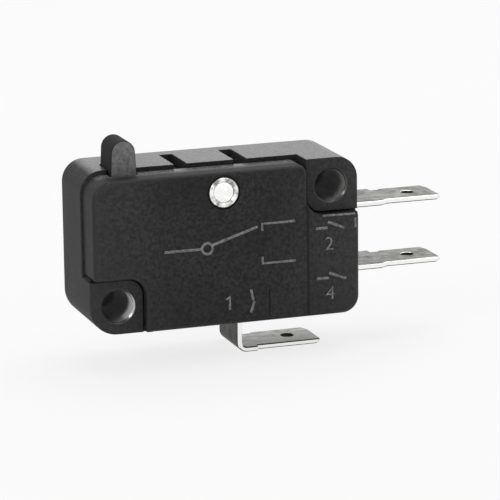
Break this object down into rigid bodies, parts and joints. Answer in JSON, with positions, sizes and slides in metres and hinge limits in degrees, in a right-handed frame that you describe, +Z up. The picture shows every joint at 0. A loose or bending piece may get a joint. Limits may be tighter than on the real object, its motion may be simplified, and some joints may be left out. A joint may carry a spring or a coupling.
{
  "type": "pin plunger micro switch",
  "caption": "Miniature snap-action changeover switch: dark moulded body with diagonal mounting holes, a hollow rivet, a pin plunger and flat push-on tabs.",
  "frame": {"origin": "axis of the lower left mounting hole, at the flat mounting face behind the body", "axes": "+X along the body towards the end tabs, +Y back out of the mounting face, +Z up along the plunger"},
  "size_m": [0.0383, 0.0104, 0.0227],
  "materials": {
    "moulding": "satin moulded thermoset",
    "plunger": "satin moulded",
    "rivet": "bright plated",
    "tinned_brass": "tin plated",
    "contact_silver": "silver faced",
    "spring_copper": "bright rolled",
    "steel": "bright drawn"
  },
  "bodies": {
    "housing": {"case": "moulding", "cover": "moulding", "eyelet": "rivet", "lever_pin": "steel", "common_terminal": "tinned_brass", "nc_terminal": "tinned_brass", "no_terminal": "tinned_brass", "nc_contact": "contact_silver", "no_contact": "contact_silver"},
    "plunger": {"plunger": "plunger"},
    "drive": {"drive_lever": "steel"},
    "arm": {"contact_lever": "spring_copper", "moving_contact": "contact_silver", "snap_spring": "steel"}
  },
  "joints": [
    {"name": "plunger_press", "type": "slide", "parent": "housing", "child": "plunger", "axis": [0, 0, -1], "range_m": [0, 0.0022], "stiffness_N_per_m": 700, "springref_m": -0.0015},
    {"name": "drive_tilt", "type": "hinge", "parent": "housing", "child": "drive", "pos_m": [0.0088, -0.00385, 0.0079], "axis": [0, -1, 0], "range_deg": [0, 17.3]},
    {"name": "arm_tip", "type": "hinge", "parent": "housing", "child": "arm", "pos_m": [0.0064, -0.00385, 0.0051], "axis": [0, 1, 0], "range_deg": [0, 3.6], "deforming": ["snap_spring"]}
  ],
  "couplings": [
    {"joint": "drive_tilt", "follows": "plunger_press", "rad_per_m": 136.6},
    {"joint": "arm_tip", "follows": "plunger_press", "rad_per_m": 28.5}
  ]
}
